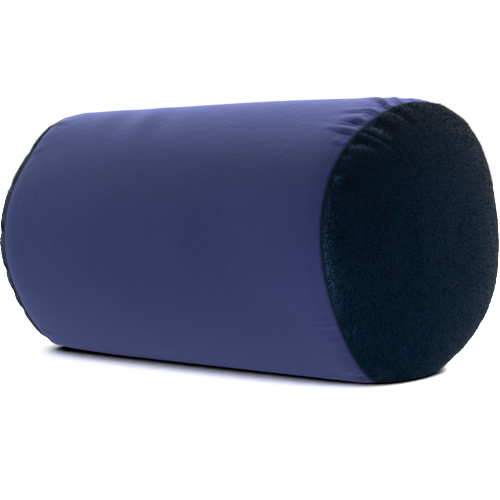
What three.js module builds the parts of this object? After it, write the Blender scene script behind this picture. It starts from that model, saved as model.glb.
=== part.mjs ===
/**
 * A neck roll pillow, filled and lying on a surface.
 *
 * A panel of smooth stretch jersey is sewn into a tube and filled, and a disc of short-pile plush
 * closes each end. The filling rounds the tube, crowns the discs and pulls both seams in.
 *
 * Units are millimetres and +Z is up. +X runs along the roll to its near end, and +Y is its back.
 * The origin is under the middle of the roll, on the surface that it lies on.
 * An angle round the roll is counted in degrees from the back: 90 is the top, 180 the front.
 */
import * as THREE from "three";

const { clamp, degToRad, euclideanModulo } = THREE.MathUtils;

// Driving dimensions
const ROLL_RADIUS = 89;
const SEAM_SPACING = 281;
const BARREL_DROP = 0.9;
const SEAM_GROOVE = { depth: 1.3, reach: 5 };
const RIM_SHARE = 0.3;
const FOOT = { sink: 7.4, blend: 3 };
const PIECE_GAP = 0.3;

// Fineness of the faces
const STEPS_ROUND = 160;
const TUBE_ROWS_FROM_SEAM = [0, 1.5, 4, 8, 14, 22, 33, 47, 62, 78, 95, 116, SEAM_SPACING / 2];
const CROWN_ROWS = [1, 0.992, 0.975, 0.95, 0.91, 0.86, 0.79, 0.7, 0.57, 0.4, 0.2, 0];

/**
 * The two ends. The shoulder is where the tube draws in towards the seam, and the crown is how far
 * the disc bulges past it. The waves are the unevenness of the seam's outline, and the wander is
 * how far the seam strays along the roll. Puckers are folds of the jersey and gathers are folds of
 * the plush. Each starts at an angle on the seam, and its slant is how far it strays round the
 * roll for each millimetre away from the seam.
 */
const NEAR = {
  side: 1,
  shoulder: { drop: 1.4, length: 26 },
  crown: 33.0,
  waves: [
    { count: 2, height: 0.7, crest: 108 },
    { count: 3, height: 2.1, crest: 51 },
    { count: 4, height: 2.8, crest: 64 },
    { count: 5, height: 0.7, crest: 44 },
  ],
  wander: [
    { count: 1, height: 4.6, crest: 34 },
    { count: 2, height: 0.8, crest: 179 },
  ],
  puckers: [
    { angle: 12, width: 13, height: 0.8, length: 22, slant: 0 },
    { angle: 27, width: 11, height: 0.6, length: 16, slant: 0 },
    { angle: 48, width: 14, height: 0.9, length: 24, slant: 0 },
    { angle: 66, width: 12, height: 0.7, length: 18, slant: 0 },
    { angle: 86, width: 10, height: 0.5, length: 18, slant: -0.6 },
    { angle: 95.5, width: 10, height: 0.8, length: 24, slant: -0.8 },
    { angle: 103, width: 13, height: 1.6, length: 42, slant: -0.62 },
    { angle: 110.8, width: 11, height: 1.0, length: 34, slant: 0.1 },
    { angle: 120.6, width: 12, height: 1.3, length: 26, slant: -0.08 },
    { angle: 128.8, width: 10, height: 1.2, length: 24, slant: -0.12 },
    { angle: 136.5, width: 9, height: 0.4, length: 14, slant: -0.1 },
    { angle: 210, width: 12, height: 0.3, length: 20, slant: 0 },
    { angle: 220, width: 12, height: 0.3, length: 18, slant: 0 },
    { angle: 246, width: 13, height: 0.7, length: 20, slant: 0 },
    { angle: 300, width: 14, height: 0.7, length: 20, slant: 0 },
    { angle: 318, width: 12, height: 0.8, length: 24, slant: 0 },
    { angle: 336, width: 13, height: 0.6, length: 18, slant: 0 },
    { angle: 351, width: 12, height: 0.7, length: 20, slant: 0 },
  ],
  gathers: [
    { angle: 18, width: 16, depth: 1.4, length: 26, slant: 0 },
    { angle: 47, width: 15, depth: 1.2, length: 24, slant: 0 },
    { angle: 67, width: 13, depth: 1.6, length: 22, slant: -0.2 },
    { angle: 84, width: 15, depth: 2.6, length: 27, slant: -0.25 },
    { angle: 97.5, width: 13, depth: 2.3, length: 24, slant: -0.1 },
    { angle: 107, width: 11, depth: 2.4, length: 27, slant: 0 },
    { angle: 120.5, width: 17, depth: 3.3, length: 32, slant: 0 },
    { angle: 134.5, width: 14, depth: 2.5, length: 28, slant: -0.1 },
    { angle: 150.5, width: 9, depth: 1.8, length: 13, slant: 0 },
    { angle: 213, width: 16, depth: 1.0, length: 22, slant: 0 },
    { angle: 243, width: 15, depth: 1.2, length: 26, slant: 0 },
    { angle: 296, width: 16, depth: 1.2, length: 26, slant: 0 },
    { angle: 317, width: 17, depth: 1.9, length: 38, slant: 0 },
    { angle: 344, width: 15, depth: 1.0, length: 22, slant: 0 },
  ],
};

const FAR = {
  side: -1,
  shoulder: { drop: 0.2, length: 30 },
  crown: 31.0,
  waves: [
    { count: 2, height: 0.9, crest: 81 },
    { count: 3, height: 0.8, crest: 104 },
    { count: 4, height: 0.6, crest: 6 },
    { count: 5, height: 1.1, crest: 31 },
  ],
  wander: [
    { count: 1, height: 1.7, crest: 238 },
    { count: 2, height: 1.7, crest: 20 },
  ],
  puckers: [
    { angle: 8, width: 12, height: 0.7, length: 20, slant: 0 },
    { angle: 31, width: 14, height: 0.8, length: 22, slant: 0 },
    { angle: 55, width: 12, height: 0.7, length: 20, slant: 0 },
    { angle: 74, width: 13, height: 0.8, length: 24, slant: 0 },
    { angle: 96, width: 12, height: 0.7, length: 22, slant: 0 },
    { angle: 112, width: 13, height: 0.9, length: 24, slant: 0 },
    { angle: 131, width: 12, height: 0.6, length: 18, slant: 0 },
    { angle: 229, width: 13, height: 0.7, length: 20, slant: 0 },
    { angle: 251, width: 12, height: 0.6, length: 18, slant: 0 },
    { angle: 298, width: 14, height: 0.8, length: 22, slant: 0 },
    { angle: 324, width: 12, height: 0.6, length: 18, slant: 0 },
    { angle: 345, width: 13, height: 0.8, length: 22, slant: 0 },
  ],
  gathers: [
    { angle: 20, width: 15, depth: 1.6, length: 28, slant: 0 },
    { angle: 43, width: 14, depth: 1.3, length: 22, slant: 0 },
    { angle: 64, width: 15, depth: 1.7, length: 30, slant: 0 },
    { angle: 86, width: 14, depth: 1.4, length: 26, slant: 0 },
    { angle: 107, width: 15, depth: 1.7, length: 28, slant: 0 },
    { angle: 129, width: 14, depth: 1.5, length: 24, slant: 0 },
    { angle: 151, width: 15, depth: 1.6, length: 28, slant: 0 },
    { angle: 175, width: 14, depth: 2.0, length: 30, slant: 0 },
    { angle: 194, width: 13, depth: 2.0, length: 28, slant: 0 },
    { angle: 206, width: 12, depth: 1.8, length: 24, slant: 0 },
    { angle: 217, width: 13, depth: 2.0, length: 28, slant: 0 },
    { angle: 238, width: 15, depth: 1.5, length: 24, slant: 0 },
    { angle: 301, width: 15, depth: 1.4, length: 26, slant: 0 },
    { angle: 323, width: 14, depth: 1.6, length: 26, slant: 0 },
    { angle: 346, width: 15, depth: 1.3, length: 24, slant: 0 },
  ],
};

/** Broad soft swells of the tube. The slant turns a swell from the roll's axis. */
const SWELLS = [
  { x: -112, angle: 102, length: 122, width: 26, slant: 0, height: 1.7 },
  { x: 60, angle: 101, length: 99, width: 32, slant: 0, height: 2.8 },
  { x: -138, angle: 134, length: 40, width: 18, slant: 0, height: -1.0 },
  { x: -42, angle: 113, length: 20, width: 11, slant: 62, height: 1.0 },
  { x: -64, angle: 112, length: 20, width: 10, slant: 62, height: -0.8 },
  { x: -85, angle: 112, length: 20, width: 11, slant: 62, height: 0.6 },
  { x: -25, angle: 113, length: 20, width: 10, slant: 62, height: -0.7 },
  { x: -96, angle: 204, length: 50, width: 13, slant: -28, height: 0.6 },
  { x: 62, angle: 62, length: 60, width: 18, slant: -14, height: 0.8 },
  { x: -30, angle: 36, length: 55, width: 16, slant: 20, height: 0.7 },
  { x: 18, angle: 322, length: 60, width: 17, slant: 12, height: -0.8 },
  { x: 126, angle: 36, length: 30, width: 30, slant: 0, height: -1.6 },
];

// Fullness of the crowned discs, and how quickly the shoulders draw in
const CROWN_FULLNESS = 2.4;
const CROWN_ROUNDNESS = 1.85;
const SHOULDER_POWER = 2.3;

// How steeply the unevenness of an end fades along the tube, and a gather's in-and-out across a disc
const UNEVEN_FADE = 2;
const WANDER_FADE = 3;
const GATHER_FADE = 4;

const jersey = new THREE.MeshStandardMaterial({
  name: "stretch_jersey",
  color: 0x3b4069,
  roughness: 0.62,
  metalness: 0,
});
const plush = new THREE.MeshStandardMaterial({
  name: "short_pile_plush",
  color: 0x0a1a2b,
  roughness: 0.95,
  metalness: 0,
});

/** Sum of the waves in a table at an angle round the roll. */
function waveSum(waves, angle) {
  return waves.reduce((sum, wave) => {
    const phase = wave.count * degToRad(angle - wave.crest);
    return sum + wave.height * Math.cos(phase);
  }, 0);
}

/** Distance round the roll, in millimetres, from one angle to another by the shorter way. */
function arcBetween(angle, other) {
  const turn = euclideanModulo(angle - other + 180, 360) - 180;
  return degToRad(turn) * ROLL_RADIUS;
}

/** A round-topped ridge that is one on its middle line and none from half its width on. */
function ridge(offset, width) {
  const share = clamp(Math.abs(offset) / (width / 2), 0, 1);
  return Math.cos((share * Math.PI) / 2) ** 2;
}

/** Fades a fold out over its length from the seam. */
function fadeFromSeam(distance, length) {
  return (1 - clamp(distance / length, 0, 1) ** 2) ** 2;
}

/** How much of a fold there is at a place: one on its line at the seam, and none beyond it. */
function foldShare(fold, angle, distance) {
  const offset = arcBetween(angle, fold.angle) - fold.slant * distance;
  return ridge(offset, fold.width) * fadeFromSeam(distance, fold.length);
}

/** Height of the small folds that the seam draws into the jersey. They are lower right at it. */
function puckerHeight(end, angle, distance) {
  const start = RIM_SHARE + (1 - RIM_SHARE) * clamp(distance / SEAM_GROOVE.reach, 0, 1);
  const height = end.puckers.reduce((sum, fold) => sum + fold.height * foldShare(fold, angle, distance), 0);
  return start * height;
}

/** Depth of the gathers that the seam draws into a disc. They start just inside the seam. */
function gatherDepth(end, angle, distance) {
  const start = clamp(distance / SEAM_GROOVE.reach, 0, 1);
  const depth = end.gathers.reduce((sum, fold) => sum + fold.depth * foldShare(fold, angle, distance), 0);
  return start * depth;
}

/** Height of the broad swells at a place on the tube. */
function swellHeight(x, angle) {
  return SWELLS.reduce((sum, swell) => {
    const slant = degToRad(swell.slant);
    const along = x - swell.x;
    const round = arcBetween(angle, swell.angle);
    const lengthwise = (along * Math.cos(slant) + round * Math.sin(slant)) / swell.length;
    const crosswise = (round * Math.cos(slant) - along * Math.sin(slant)) / swell.width;
    return sum + swell.height * Math.exp(-(lengthwise ** 2) - crosswise ** 2);
  }, 0);
}

/** Radius of the tube before its unevenness, from its middle to its drawn-in seams. */
function tubeRadius(x) {
  const end = x > 0 ? NEAR : FAR;
  const fromSeam = SEAM_SPACING / 2 - Math.abs(x);
  const shoulder = clamp(1 - fromSeam / end.shoulder.length, 0, 1) ** SHOULDER_POWER;
  const barrel = BARREL_DROP * (x / (SEAM_SPACING / 2)) ** 2;
  const groove = SEAM_GROOVE.depth * Math.exp(-((fromSeam / SEAM_GROOVE.reach) ** 2));
  return ROLL_RADIUS - barrel - end.shoulder.drop * shoulder - groove;
}

/** Eases a height down to the flat spot on which the roll lies. */
function rest(z) {
  const over = z + ROLL_RADIUS - FOOT.sink;
  if (over > FOOT.blend) {
    return z;
  }
  const eased = over < -FOOT.blend ? 0 : (over + FOOT.blend) ** 2 / (4 * FOOT.blend);
  return FOOT.sink - ROLL_RADIUS + eased;
}

/** The point at a radius and an angle round the roll's axis. */
function pointRound(x, radius, angle) {
  const turn = degToRad(angle);
  return new THREE.Vector3(x, radius * Math.cos(turn), rest(radius * Math.sin(turn)));
}

/** A point of the tube. A share of one is on the jersey, and less is on the sewn-in end. */
function tubePoint(share, x, angle) {
  const nearness = (1 + x / (SEAM_SPACING / 2)) / 2;
  const farness = 1 - nearness;
  const nearSeam = SEAM_SPACING / 2 - x;
  const farSeam = SEAM_SPACING / 2 + x;
  const uneven =
    waveSum(NEAR.waves, angle) * nearness ** UNEVEN_FADE +
    waveSum(FAR.waves, angle) * farness ** UNEVEN_FADE;
  const wander =
    waveSum(NEAR.wander, angle) * nearness ** WANDER_FADE +
    waveSum(FAR.wander, angle) * farness ** WANDER_FADE;
  const folds = puckerHeight(NEAR, angle, nearSeam) + puckerHeight(FAR, angle, farSeam);
  const relief = uneven + folds + swellHeight(x, angle);
  return pointRound(x + wander * share, (tubeRadius(x) + relief) * share, angle);
}

/** A point of an end disc. A rise of none is on its sewn face, and one is at the crown's top. */
function discPoint(end, share, rise, angle) {
  const seam = SEAM_SPACING / 2;
  const seamRadius = tubeRadius(end.side * seam);
  const rim = puckerHeight(end, angle, 0) + swellHeight(end.side * seam, angle);
  const onCrown = rise > 0 ? 1 : 0;
  const fromSeam = (1 - share) * seamRadius + rise * end.crown * onCrown;
  const gather = gatherDepth(end, angle, fromSeam) * onCrown;
  const out = seam + PIECE_GAP + rise * end.crown - gather * (1 - share ** GATHER_FADE);
  const wander = waveSum(end.wander, angle) * share;
  const outline = (waveSum(end.waves, angle) + rim) * share ** UNEVEN_FADE;
  const relief = outline - gather * share ** GATHER_FADE;
  return pointRound(end.side * out + wander, seamRadius * share + relief, angle);
}

/**
 * Turns a profile round the roll's axis and puts each of its points in place.
 * A profile's point holds the share of the radius and the station along the roll.
 */
function turn(profile, place) {
  const geometry = new THREE.LatheGeometry(profile, STEPS_ROUND);
  geometry.rotateZ(-Math.PI / 2);
  const positions = geometry.attributes.position;
  const point = new THREE.Vector3();
  for (let i = 0; i < positions.count; i += 1) {
    point.fromBufferAttribute(positions, i);
    const share = Math.hypot(point.y, point.z);
    const angle = THREE.MathUtils.radToDeg(Math.atan2(point.z, point.y));
    const placed = place(share, point.x, angle);
    positions.setXYZ(i, placed.x, placed.y, placed.z);
  }
  return geometry;
}

/** The filled tube of jersey, with its rows closest together at the seams. */
function tubeGeometry() {
  const half = SEAM_SPACING / 2;
  const farHalf = TUBE_ROWS_FROM_SEAM.map((distance) => distance - half);
  const nearHalf = farHalf.slice(0, -1).reverse().map((x) => -x);
  const stations = [...farHalf, ...nearHalf];
  const profile = [
    new THREE.Vector2(0, -half),
    ...stations.map((x) => new THREE.Vector2(1, x)),
    new THREE.Vector2(0, half),
  ];
  return turn(profile, tubePoint);
}

/** A crowned disc of plush: a flat sewn face, then the rows of the crown out to its middle. */
function discGeometry(end) {
  const crown = CROWN_ROWS.map((share) => {
    const rise = Math.max(1 - share ** CROWN_FULLNESS, 0) ** (1 / CROWN_ROUNDNESS);
    return new THREE.Vector2(share, rise * end.side);
  });
  const profile = [new THREE.Vector2(0, 0), ...crown];
  if (end.side < 0) {
    profile.reverse();
  }
  return turn(profile, (share, rise, angle) => discPoint(end, share, Math.abs(rise), angle));
}

/** A named mesh of the roll. */
function piece(name, geometry, material) {
  const mesh = new THREE.Mesh(geometry, material);
  mesh.name = name;
  return mesh;
}

const roll = new THREE.Group();
roll.add(piece("tube_panel", tubeGeometry(), jersey));
roll.add(piece("end_panel_near", discGeometry(NEAR), plush));
roll.add(piece("end_panel_far", discGeometry(FAR), plush));

const bounds = new THREE.Box3().setFromObject(roll, true);
const middle = bounds.getCenter(new THREE.Vector3());
roll.position.set(-middle.x, -middle.y, -bounds.min.z);

const group = new THREE.Group();
group.add(roll);

export default group;
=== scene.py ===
"""A filled neck roll pillow, lying on a white studio floor.

The roll is a tube of smooth stretch jersey with a crowned disc of short-pile plush sewn into each
end. The form of the filled cloth follows a few named sizes. A cloth simulation of the sewn and
filled cover adds the pull of the seams, and the pile of the plush is planted tuft by tuft.

Lengths in the form's tables are millimetres, and every mesh is in metres, in the frame of the
part. +X runs along the roll to its near end, +Y is its back and +Z is up. An angle round the roll
is counted in degrees from the back: 90 is the top, 180 the front and 270 the underside.
"""

import logging
import math
from collections.abc import Sequence
from dataclasses import dataclass, replace
from enum import Enum

import bpy
import numpy as np
from mathutils import Matrix, Vector


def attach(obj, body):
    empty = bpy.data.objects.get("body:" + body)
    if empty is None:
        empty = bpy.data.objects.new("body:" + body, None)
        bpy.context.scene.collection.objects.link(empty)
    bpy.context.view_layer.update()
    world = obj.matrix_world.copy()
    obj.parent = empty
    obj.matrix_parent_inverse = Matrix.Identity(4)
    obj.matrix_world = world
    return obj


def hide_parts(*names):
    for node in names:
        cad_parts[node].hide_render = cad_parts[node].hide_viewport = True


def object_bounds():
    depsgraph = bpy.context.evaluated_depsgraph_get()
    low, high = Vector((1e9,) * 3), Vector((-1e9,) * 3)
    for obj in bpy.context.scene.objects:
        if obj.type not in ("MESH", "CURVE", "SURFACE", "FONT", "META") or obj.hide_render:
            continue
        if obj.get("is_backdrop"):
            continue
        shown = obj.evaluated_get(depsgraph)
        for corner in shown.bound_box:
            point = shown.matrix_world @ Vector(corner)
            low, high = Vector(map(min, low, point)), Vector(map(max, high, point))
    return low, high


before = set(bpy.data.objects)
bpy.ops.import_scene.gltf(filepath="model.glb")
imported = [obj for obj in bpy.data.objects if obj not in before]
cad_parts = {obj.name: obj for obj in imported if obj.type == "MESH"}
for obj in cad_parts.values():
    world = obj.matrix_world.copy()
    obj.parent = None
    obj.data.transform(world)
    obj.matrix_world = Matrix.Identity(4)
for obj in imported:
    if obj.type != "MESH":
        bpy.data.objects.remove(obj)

MM = 0.001
BODY = "root"
log = logging.getLogger("neck_roll")

Array = np.ndarray
Object = bpy.types.Object
Material = bpy.types.Material
Node = bpy.types.Node
Socket = bpy.types.NodeSocket
Pair = tuple[float, float]
Triple = tuple[float, float, float]
Colour = tuple[float, float, float, float]


class Side(Enum):
    """The two ends of the roll, by the sign of their X."""

    NEAR = 1
    FAR = -1


@dataclass(frozen=True)
class Wave:
    """One wave of unevenness round the roll."""

    count: int  # waves in a full turn
    height: float  # of a crest
    crest: float  # angle of a crest

    def at(self, angle: Array) -> Array:
        """Height of the wave at angles round the roll."""
        return self.height * np.cos(self.count * np.radians(angle - self.crest))


@dataclass(frozen=True)
class Fold:
    """A small fold that starts at a seam and fades out away from it."""

    angle: float  # of its middle line
    width: float  # along the seam
    height: float  # of a pucker's ridge, below zero for a crease, or the depth of a gather or tuck
    length: float  # over which it fades out
    slant: float = 0.0  # how far it drifts along the seam for each millimetre from it

    def at(self, angle: Array, distance: Array, radius: float) -> Array:
        """Height of the fold at places round and away from its seam.

        Args:
            angle: Angles round the roll.
            distance: Distances from the seam.
            radius: Radius of the roll.

        Returns:
            Heights, of the broadcast shape of the places.
        """
        offset = np.radians(turn_between(angle, self.angle)) * radius - self.slant * distance
        across = np.cos(np.clip(np.abs(offset) / (self.width / 2), 0, 1) * math.pi / 2) ** 2
        fade = (1 - np.clip(distance / self.length, 0, 1) ** 2) ** 2
        return self.height * across * fade


@dataclass(frozen=True)
class Swell:
    """A broad soft swell of the tube."""

    x: float  # station of its middle
    angle: float  # of its middle
    length: float
    width: float
    slant: float  # its turn from the roll's axis, in degrees
    height: float

    def at(self, x: Array, angle: Array, radius: float) -> Array:
        """Height of the swell at places on the tube.

        Args:
            x: Stations along the roll.
            angle: Angles round it.
            radius: Radius of the roll.

        Returns:
            Heights, of the broadcast shape of the places.
        """
        slant = math.radians(self.slant)
        along = x - self.x
        across = np.radians(turn_between(angle, self.angle)) * radius
        lengthwise = (along * math.cos(slant) + across * math.sin(slant)) / self.length
        crosswise = (across * math.cos(slant) - along * math.sin(slant)) / self.width
        return self.height * np.exp(-(lengthwise**2) - crosswise**2)


@dataclass(frozen=True)
class RollEnd:
    """One end of the roll."""

    shoulder_drop: float  # how far the tube draws in towards the seam
    shoulder_length: float  # the stretch over which it draws in
    groove_depth: float  # of the furrow that the seam pulls into the roll
    crown: float  # how far the disc bulges past the seam
    waves: tuple[Wave, ...]  # unevenness of the seam's outline
    wander: tuple[Wave, ...]  # how far the seam strays along the roll
    puckers: tuple[Fold, ...]  # small ridges that the seam draws into the jersey
    creases: tuple[Fold, ...]  # sharper little troughs between and beside them
    gathers: tuple[Fold, ...]  # small troughs that the seam draws into the plush
    tucks: tuple[Fold, ...]  # deeper, sharper troughs among them
    smooth: Pair  # the stretch of angles over which the seam lies smooth


def folds(*rows: tuple[float, ...]) -> tuple[Fold, ...]:
    """Folds from rows of angle, width, height, length and, where they drift, slant."""
    return tuple(Fold(*row) for row in rows)


NEAR_END = RollEnd(
    shoulder_drop=1.4,
    shoulder_length=26,
    groove_depth=1.3,
    crown=33.0,
    waves=(Wave(2, 0.7, 108), Wave(3, 2.1, 51), Wave(4, 2.8, 64), Wave(5, 0.7, 44)),
    wander=(Wave(1, 4.6, 34), Wave(2, 0.8, 179)),
    puckers=folds(
        (12, 13, 0.8, 22), (27, 11, 0.6, 16), (48, 14, 0.9, 24), (66, 12, 0.7, 18),
        (86, 10, 0.5, 18, -0.6), (95.5, 10, 0.8, 24, -0.8), (103, 13, 1.6, 42, -0.62),
        (110.8, 11, 1.0, 34, 0.1), (120.6, 12, 1.3, 26, -0.08), (128.8, 10, 1.2, 24, -0.12),
        (136.5, 9, 0.4, 14, -0.1), (210, 12, 0.3, 20), (220, 12, 0.3, 18), (246, 13, 0.7, 20),
        (300, 14, 0.7, 20), (318, 12, 0.8, 24), (336, 13, 0.6, 18), (351, 12, 0.7, 20),
    ),
    creases=folds(
        (20, 5, -0.5, 16), (56, 5, -0.5, 18), (76, 4.5, -0.5, 15), (91, 4, -0.4, 14, -0.7),
        (99.2, 3, -0.5, 12, -0.6), (101.4, 2.6, -0.4, 9, -0.5), (106.4, 3.6, -0.4, 16, -0.25),
        (115.2, 3.6, -0.45, 24, 0.05), (124.2, 3.4, -0.45, 22, -0.12),
        (131.8, 3.6, -0.45, 18, -0.1), (210.4, 3.2, -0.4, 22), (214, 3.2, -0.4, 17),
        (217.2, 3, -0.35, 12), (221, 3.2, -0.3, 10), (228, 4, -0.25, 12), (305, 5, -0.5, 18),
        (328, 5, -0.5, 16), (344, 5, -0.5, 18),
    ),
    gathers=folds(
        (18, 16, 1.4, 26), (47, 15, 1.2, 24), (67, 13, 1.6, 22, -0.2), (84, 15, 2.6, 27, -0.25),
        (97.5, 13, 2.3, 24, -0.1), (107, 11, 2.4, 27), (120.5, 17, 3.3, 32),
        (134.5, 14, 2.5, 28, -0.1), (150.5, 9, 1.8, 13), (213, 16, 1.0, 22), (243, 15, 1.2, 26),
        (296, 16, 1.2, 26), (317, 17, 1.9, 38), (344, 15, 1.0, 22),
    ),
    tucks=folds(
        (104.4, 5, 1.2, 20), (117, 6, 1.2, 26), (128.2, 5, 1.4, 48), (142, 6, 1.0, 12),
        (151.5, 4, 1.2, 10), (318, 7, 1.4, 26),
    ),
    smooth=(136, 232),
)

FAR_END = RollEnd(
    shoulder_drop=1.0,
    shoulder_length=30,
    groove_depth=0.6,
    crown=31.0,
    waves=(Wave(2, 0.9, 81), Wave(3, 0.8, 104), Wave(4, 0.6, 6), Wave(5, 1.1, 31)),
    wander=(Wave(1, 1.7, 238), Wave(2, 1.7, 20)),
    puckers=folds(
        (8, 12, 0.7, 20), (31, 14, 0.8, 22), (55, 12, 0.7, 20), (74, 13, 0.8, 24),
        (96, 12, 0.7, 22), (112, 13, 0.9, 24), (131, 12, 0.6, 18), (229, 13, 0.7, 20),
        (251, 12, 0.6, 18), (298, 14, 0.8, 22), (324, 12, 0.6, 18), (345, 13, 0.8, 22),
    ),
    creases=folds(
        (20, 5, -0.5, 18), (43, 5, -0.5, 16), (66, 5, -0.5, 18), (311, 5, -0.5, 18),
        (334, 5, -0.5, 16),
    ),
    gathers=folds(
        (20, 15, 1.6, 28), (43, 14, 1.3, 22), (64, 15, 1.7, 30), (86, 14, 1.4, 26),
        (107, 15, 1.7, 28), (129, 14, 1.5, 24), (151, 15, 1.6, 28), (175, 14, 2.0, 30),
        (194, 13, 2.0, 28), (206, 12, 1.8, 24), (217, 13, 2.0, 28), (238, 15, 1.5, 24),
        (301, 15, 1.4, 26), (323, 14, 1.6, 26), (346, 15, 1.3, 24),
    ),
    tucks=folds(
        (64, 7, 1.4, 24), (175, 6, 1.6, 20), (194, 6, 1.6, 20), (206, 6, 1.6, 18),
        (217, 6, 1.6, 20), (323, 7, 1.2, 22),
    ),
    smooth=(84, 256),
)

# Rows of x, angle, length, width, slant and height.
SWELLS = tuple(
    Swell(*row)
    for row in (
        (-112, 102, 122, 26, 0, 1.7), (60, 101, 99, 32, 0, 2.8), (-138, 134, 40, 18, 0, -1.0),
        (-42, 113, 20, 11, 62, 1.0), (-64, 112, 20, 10, 62, -0.8), (-85, 112, 20, 11, 62, 0.6),
        (-25, 113, 20, 10, 62, -0.7), (-96, 204, 50, 13, -28, 0.6), (62, 62, 60, 18, -14, 0.8),
        (-30, 36, 55, 16, 20, 0.7), (18, 322, 60, 17, 12, -0.8), (126, 36, 30, 30, 0, -1.6),
    )
)


def turn_between(angle: Array, other: float) -> Array:
    """Degrees from one angle to others, by the shorter way."""
    return np.mod(np.asarray(angle) - other + 180, 360) - 180


def sum_waves(waves: Sequence[Wave], angle: Array) -> Array:
    """Sum of a table of waves at angles round the roll."""
    return sum(wave.at(angle) for wave in waves)


def sum_folds(table: Sequence[Fold], angle: Array, distance: Array, radius: float) -> Array:
    """Sum of a table of folds at places round and away from their seam."""
    return sum(fold.at(angle, distance, radius) for fold in table)


def scale_waves(values: Array, counts: slice, share: float) -> Array:
    """Scales some of the waves that rows of values make round the roll.

    Args:
        values: Rows of values at even steps round the roll.
        counts: Which waves, by their count in a full turn.
        share: What is left of them.

    Returns:
        The new rows.
    """
    spectrum = np.fft.rfft(values, axis=1)
    spectrum[:, counts] *= share
    return np.fft.irfft(spectrum, n=values.shape[1], axis=1)


def cubic_between(values: Array, index: Array, wraps: bool) -> Array:
    """Reads the rows of a table at places between them, on a smooth cubic.

    Args:
        values: The table, one row for each whole index.
        index: Places to read, as fractional row numbers.
        wraps: Whether the last row is followed by the first.

    Returns:
        One row for each place.
    """
    low = np.floor(index).astype(int)
    t = (index - low)[:, None]
    count = len(values)
    places = [low + step for step in (-1, 0, 1, 2)]
    places = [at % count if wraps else np.clip(at, 0, count - 1) for at in places]
    before, start, end, after = (values[at] for at in places)
    slope_in = (end - before) / 2
    slope_out = (after - start) / 2
    square, cube = t**2, t**3
    return (
        (2 * cube - 3 * square + 1) * start
        + (cube - 2 * square + t) * slope_in
        + (3 * square - 2 * cube) * end
        + (cube - square) * slope_out
    )


@dataclass(frozen=True)
class ReliefGrid:
    """Heights that the simulated cloth adds to one panel."""

    stations: Array  # places of its rows along the panel, increasing
    heights: Array  # rows by even steps round the roll

    def sample(self, stations: Array, angles: Array) -> Array:
        """Heights at the crossings of rows and columns.

        Args:
            stations: Places of the rows along the panel.
            angles: Angles of the columns.

        Returns:
            Heights, rows by columns.
        """
        index = np.interp(stations, self.stations, np.arange(len(self.stations)))
        rows = cubic_between(self.heights, index, wraps=False)
        columns = np.mod(angles, 360) / 360 * rows.shape[1]
        return cubic_between(rows.T, columns, wraps=True).T


FLAT = ReliefGrid(np.arange(2.0), np.zeros((2, 2)))  # for cloth that isn't simulated


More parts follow.
